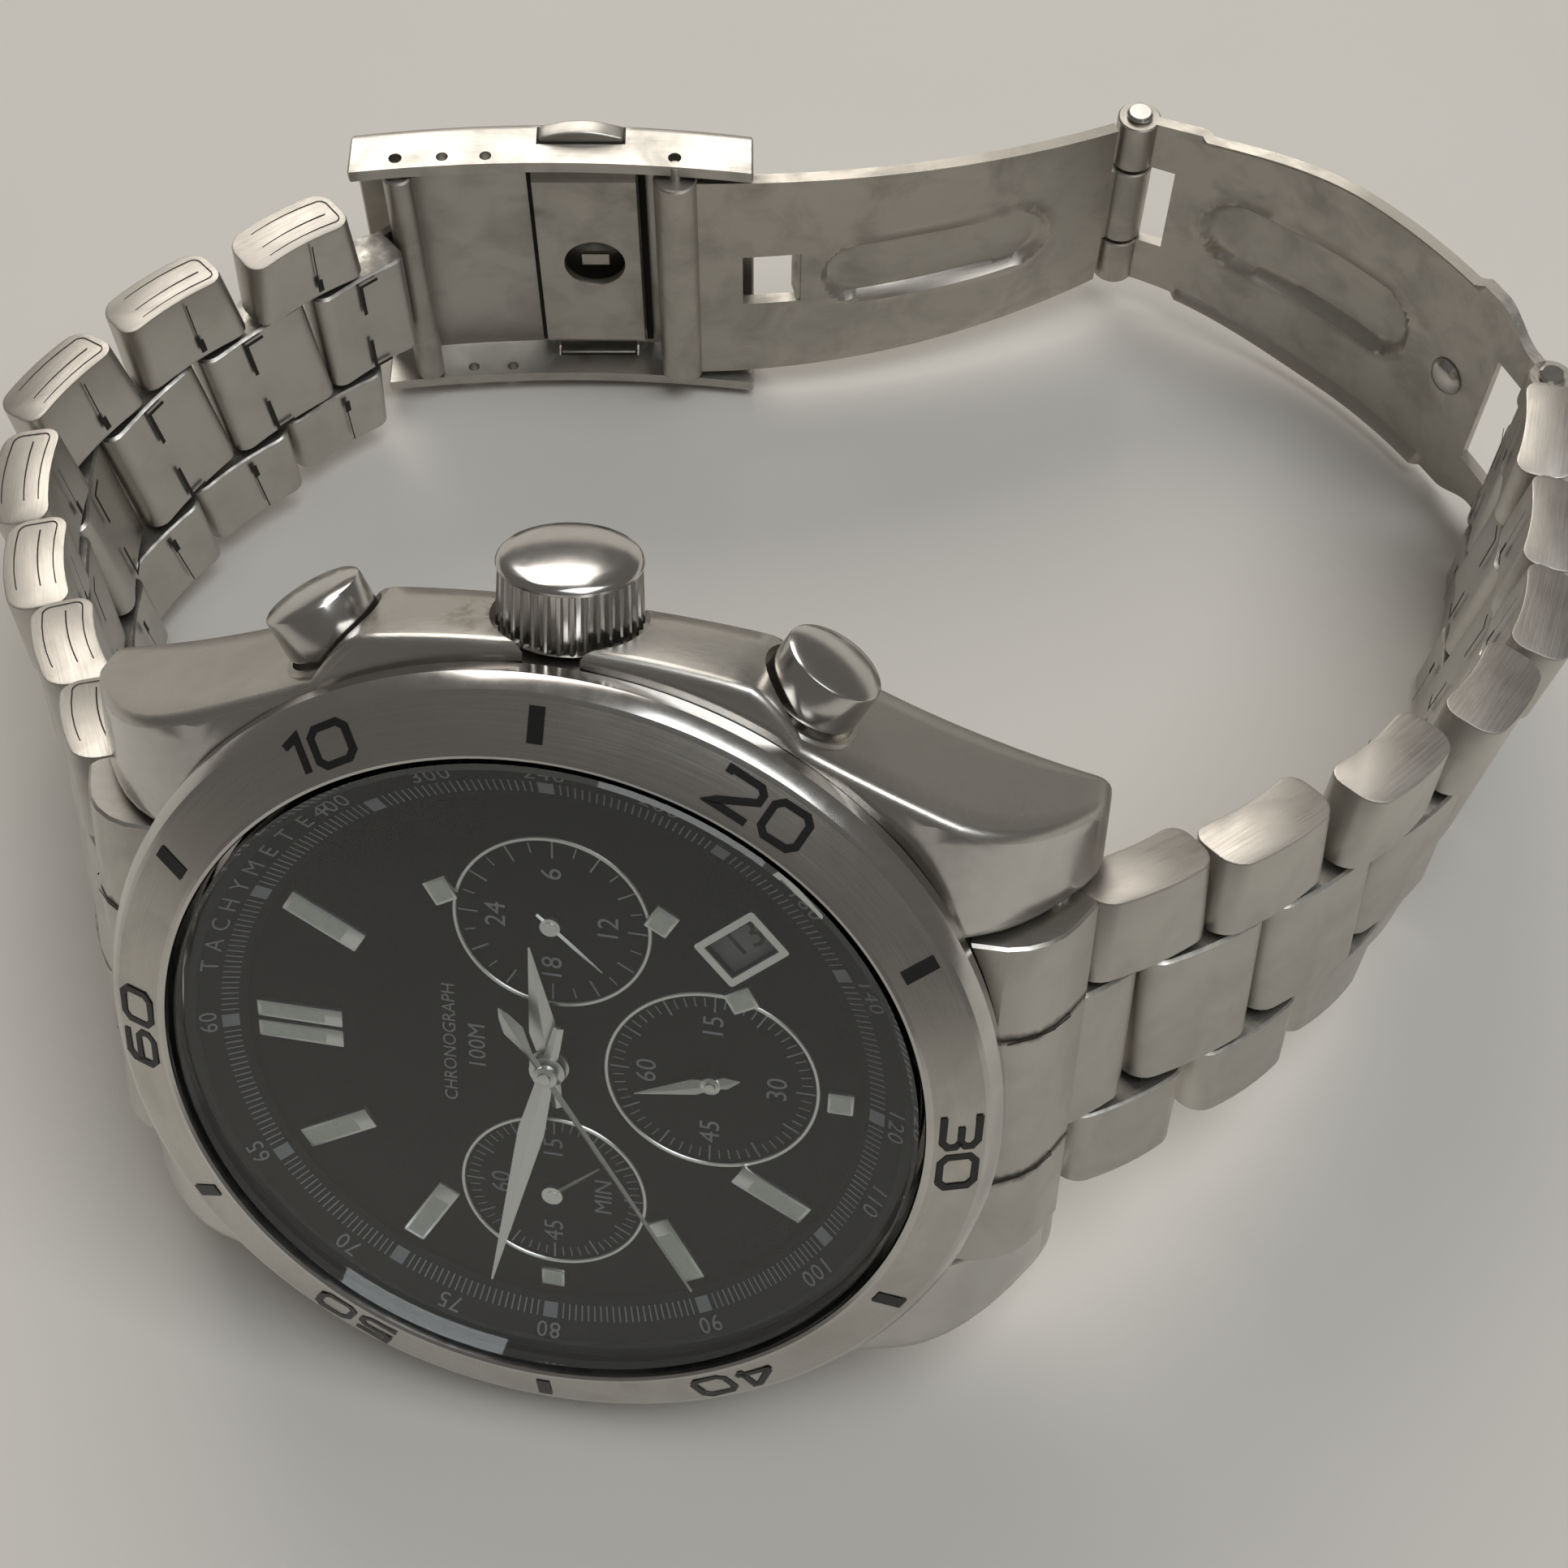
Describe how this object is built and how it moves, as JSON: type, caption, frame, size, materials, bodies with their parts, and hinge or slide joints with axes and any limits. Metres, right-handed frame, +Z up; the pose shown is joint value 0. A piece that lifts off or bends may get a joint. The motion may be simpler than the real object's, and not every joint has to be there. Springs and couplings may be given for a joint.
{
  "type": "wristwatch",
  "caption": "Steel chronograph wristwatch with a black dial, three counters, crown and two pushers, on a link bracelet whose fold-over clasp is open.",
  "frame": {"origin": "on the floor under the middle of the bounding box of the whole watch as it lies", "axes": "+Z up; the dial faces -Y and leans back, six o'clock points along +X, three o'clock points up, the unfolded clasp lies behind at +Y"},
  "size_m": [0.0922, 0.0864, 0.0445],
  "materials": {
    "case_steel": "brushed top faces, satin flanks, worn edges",
    "bezel_steel": "concentric brushing, polished edges, black filled numerals",
    "polished_steel": "polished, fine scratches",
    "link_steel": "lengthwise brushing, dirt in the seams",
    "clasp_steel": "satin, scratched",
    "blade_steel": "pressed sheet, smudged",
    "pin_steel": "plain",
    "hand_steel": "polished",
    "crystal": "clear, flat",
    "gasket": "matt black",
    "black_ring": "matt black with pale printing",
    "black_dial": "satin black with pale printing",
    "date_print": "matt white",
    "movement_plate": "plated",
    "holder_plastic": "moulded",
    "copper_wire": "enamelled wire"
  },
  "bodies": {
    "head": {"case_middle": "case_steel", "bezel": "bezel_steel", "crystal": "crystal", "crystal_gasket": "gasket", "tachymeter_ring": "black_ring", "dial": "black_dial", "movement": "movement_plate", "movement_holder": "holder_plastic", "battery": "polished_steel", "motor_coil": "copper_wire", "case_back": "polished_steel", "case_back_gasket": "gasket", "end_link_12": "link_steel", "spring_bar_12": "pin_steel", "end_link_6": "link_steel", "spring_bar_6": "pin_steel"},
    "date_ring": {"date_ring": "date_print"},
    "hour_hand": {"hour_hand": "hand_steel"},
    "minute_hand": {"minute_hand": "hand_steel"},
    "chrono_seconds_hand": {"chrono_seconds_hand": "hand_steel"},
    "day_hours_hand": {"day_hours_hand": "hand_steel"},
    "small_seconds_hand": {"small_seconds_hand": "hand_steel"},
    "chrono_minutes_hand": {"chrono_minutes_hand": "hand_steel"},
    "setting_sleeve": {"setting_sleeve": "movement_plate"},
    "crown": {"crown": "polished_steel", "crown_stem": "pin_steel"},
    "start_pusher": {"start_pusher": "polished_steel"},
    "reset_pusher": {"reset_pusher": "polished_steel"},
    "link_12_1": {"link_12_1": "link_steel"},
    "link_12_2": {"link_12_2": "link_steel"},
    "link_12_3": {"link_12_3": "link_steel"},
    "link_12_4": {"link_12_4": "link_steel"},
    "link_12_5": {"link_12_5": "link_steel"},
    "link_12_6": {"link_12_6": "link_steel"},
    "link_12_7": {"link_12_7": "link_steel"},
    "clasp_cover": {"clasp_cover": "clasp_steel", "latch_plate": "blade_steel", "clasp_spring_bar": "pin_steel", "blade_hinge_pin": "pin_steel"},
    "upper_push_button": {"upper_push_button": "polished_steel"},
    "lower_push_button": {"lower_push_button": "polished_steel"},
    "lower_blade": {"lower_blade": "blade_steel", "fold_pin": "pin_steel", "bracelet_end_pin": "pin_steel", "latch_stud": "polished_steel"},
    "middle_blade": {"middle_blade": "blade_steel"},
    "link_6_1": {"link_6_1": "link_steel"},
    "link_6_2": {"link_6_2": "link_steel"},
    "link_6_3": {"link_6_3": "link_steel"},
    "link_6_4": {"link_6_4": "link_steel"},
    "link_6_5": {"link_6_5": "link_steel"},
    "link_6_6": {"link_6_6": "link_steel"},
    "link_6_7": {"link_6_7": "link_steel"}
  },
  "joints": [
    {"name": "date_ring_turn", "type": "hinge", "parent": "head", "child": "date_ring", "pos_m": [-0.00415, -0.03399, 0.02282], "axis": [-0.0125, -0.8949, 0.446], "continuous": true},
    {"name": "hour_turn", "type": "hinge", "parent": "head", "child": "hour_hand", "pos_m": [-0.00415, -0.03399, 0.02282], "axis": [0.0125, 0.8949, -0.446], "continuous": true},
    {"name": "minute_turn", "type": "hinge", "parent": "head", "child": "minute_hand", "pos_m": [-0.00415, -0.03399, 0.02282], "axis": [0.0125, 0.8949, -0.446], "continuous": true},
    {"name": "chrono_seconds_turn", "type": "hinge", "parent": "head", "child": "chrono_seconds_hand", "pos_m": [-0.00415, -0.03399, 0.02282], "axis": [0.0125, 0.8949, -0.446], "continuous": true},
    {"name": "day_hours_turn", "type": "hinge", "parent": "head", "child": "day_hours_hand", "pos_m": [-0.00435, -0.03038, 0.03007], "axis": [0.0125, 0.8949, -0.446], "continuous": true},
    {"name": "small_seconds_turn", "type": "hinge", "parent": "head", "child": "small_seconds_hand", "pos_m": [0.0038, -0.03399, 0.02304], "axis": [0.0125, 0.8949, -0.446], "continuous": true},
    {"name": "chrono_minutes_turn", "type": "hinge", "parent": "head", "child": "chrono_minutes_hand", "pos_m": [-0.00393, -0.03788, 0.01504], "axis": [0.0125, 0.8949, -0.446], "continuous": true},
    {"name": "crown_pull", "type": "slide", "parent": "head", "child": "setting_sleeve", "axis": [-0.025, 0.4462, 0.8946], "range_m": [0, 0.0012]},
    {"name": "crown_turn", "type": "hinge", "parent": "setting_sleeve", "child": "crown", "pos_m": [-0.00407, -0.02863, 0.02014], "axis": [-0.025, 0.4462, 0.8946], "continuous": true},
    {"name": "start_press", "type": "slide", "parent": "head", "child": "start_pusher", "axis": [0.5065, -0.3903, -0.7689], "range_m": [0, 0.001], "stiffness_N_per_m": 600, "springref_m": -0.001},
    {"name": "reset_press", "type": "slide", "parent": "head", "child": "reset_pusher", "axis": [-0.4628, -0.3903, -0.796], "range_m": [0, 0.001], "stiffness_N_per_m": 600, "springref_m": -0.001},
    {"name": "link_12_1_pin", "type": "hinge", "parent": "head", "child": "link_12_1", "pos_m": [-0.0298, -0.02415, 0.01719], "axis": [-0.0109, 0.3667, 0.9303], "range_deg": [0, 65]},
    {"name": "link_12_2_pin", "type": "hinge", "parent": "link_12_1", "child": "link_12_2", "pos_m": [-0.03378, -0.0176, 0.01457], "axis": [-0.0206, 0.2602, 0.9653], "range_deg": [0, 4]},
    {"name": "link_12_3_pin", "type": "hinge", "parent": "link_12_2", "child": "link_12_3", "pos_m": [-0.03792, -0.0109, 0.01267], "axis": [-0.0599, 0.1385, 0.9885], "range_deg": [0, 14]},
    {"name": "link_12_4_pin", "type": "hinge", "parent": "link_12_3", "child": "link_12_4", "pos_m": [-0.04098, -0.0035, 0.01145], "axis": [-0.1134, 0.0269, 0.9932], "range_deg": [0, 14]},
    {"name": "link_12_5_pin", "type": "hinge", "parent": "link_12_4", "child": "link_12_5", "pos_m": [-0.04293, 0.00435, 0.01102], "axis": [-0.1503, 0.0296, 0.9882], "range_deg": [0, 44]},
    {"name": "link_12_6_pin", "type": "hinge", "parent": "link_12_5", "child": "link_12_6", "pos_m": [-0.03955, 0.0117, 0.01131], "axis": [-0.0955, 0.0356, 0.9948], "range_deg": [0, 19]},
    {"name": "link_12_7_pin", "type": "hinge", "parent": "link_12_6", "child": "link_12_7", "pos_m": [-0.03447, 0.01801, 0.01157], "axis": [0.0211, 0.004, 0.9998], "range_deg": [0, 7]},
    {"name": "cover_pin", "type": "hinge", "parent": "link_12_7", "child": "clasp_cover", "pos_m": [-0.02788, 0.02566, 0.0114], "axis": [0.0209, 0, 0.9998], "range_deg": [0, 8]},
    {"name": "upper_button_press", "type": "slide", "parent": "clasp_cover", "child": "upper_push_button", "axis": [-0.0209, 0, -0.9998], "range_m": [0, 0.0007], "stiffness_N_per_m": 500, "springref_m": -0.001},
    {"name": "lower_button_press", "type": "slide", "parent": "clasp_cover", "child": "lower_push_button", "axis": [0.0209, 0, 0.9998], "range_m": [0, 0.0007], "stiffness_N_per_m": 500, "springref_m": -0.001},
    {"name": "middle_blade_fold", "type": "hinge", "parent": "clasp_cover", "child": "middle_blade", "pos_m": [-0.01078, 0.02886, 0.01104], "axis": [-0.0209, 0, -0.9998], "range_deg": [0, 39.4]},
    {"name": "lower_blade_fold", "type": "hinge", "parent": "middle_blade", "child": "lower_blade", "pos_m": [0.01737, 0.04183, 0.01045], "axis": [0.0209, 0, 0.9998], "range_deg": [0, 192]},
    {"name": "link_6_1_pin", "type": "hinge", "parent": "head", "child": "link_6_1", "pos_m": [0.02178, -0.02415, 0.01863], "axis": [0.0416, -0.342, -0.9388], "range_deg": [0, 47]},
    {"name": "link_6_2_pin", "type": "hinge", "parent": "link_6_1", "child": "link_6_2", "pos_m": [0.02786, -0.01904, 0.01704], "axis": [0.0466, -0.2444, -0.9686], "range_deg": [0, 11]},
    {"name": "link_6_3_pin", "type": "hinge", "parent": "link_6_2", "child": "link_6_3", "pos_m": [0.03333, -0.01319, 0.01583], "axis": [-0.058, -0.2051, -0.977], "range_deg": [0, 13]},
    {"name": "link_6_4_pin", "type": "hinge", "parent": "link_6_3", "child": "link_6_4", "pos_m": [0.03791, -0.00671, 0.0142], "axis": [-0.1727, -0.1931, -0.9659], "range_deg": [0, 15]},
    {"name": "link_6_5_pin", "type": "hinge", "parent": "link_6_4", "child": "link_6_5", "pos_m": [0.04122, 0.0004, 0.01218], "axis": [-0.2042, -0.1511, -0.9672], "range_deg": [0, 19]},
    {"name": "link_6_6_pin", "type": "hinge", "parent": "link_6_5", "child": "link_6_6", "pos_m": [0.04272, 0.00821, 0.01065], "axis": [-0.133, -0.0809, -0.9878], "range_deg": [0, 11]},
    {"name": "link_6_7_pin", "type": "hinge", "parent": "link_6_6", "child": "link_6_7", "pos_m": [0.04349, 0.01624, 0.00988], "axis": [-0.0217, 0.0014, -0.9998], "range_deg": [0, 6]}
  ],
  "couplings": [
    {"joint": "hour_turn", "follows": "minute_turn", "ratio": 0.083333},
    {"joint": "day_hours_turn", "follows": "minute_turn", "ratio": 0.041667},
    {"joint": "small_seconds_turn", "follows": "minute_turn", "ratio": 60},
    {"joint": "chrono_minutes_turn", "follows": "chrono_seconds_turn", "ratio": 0.016667},
    {"joint": "middle_blade_fold", "follows": "lower_blade_fold", "ratio": 0.2}
  ]
}
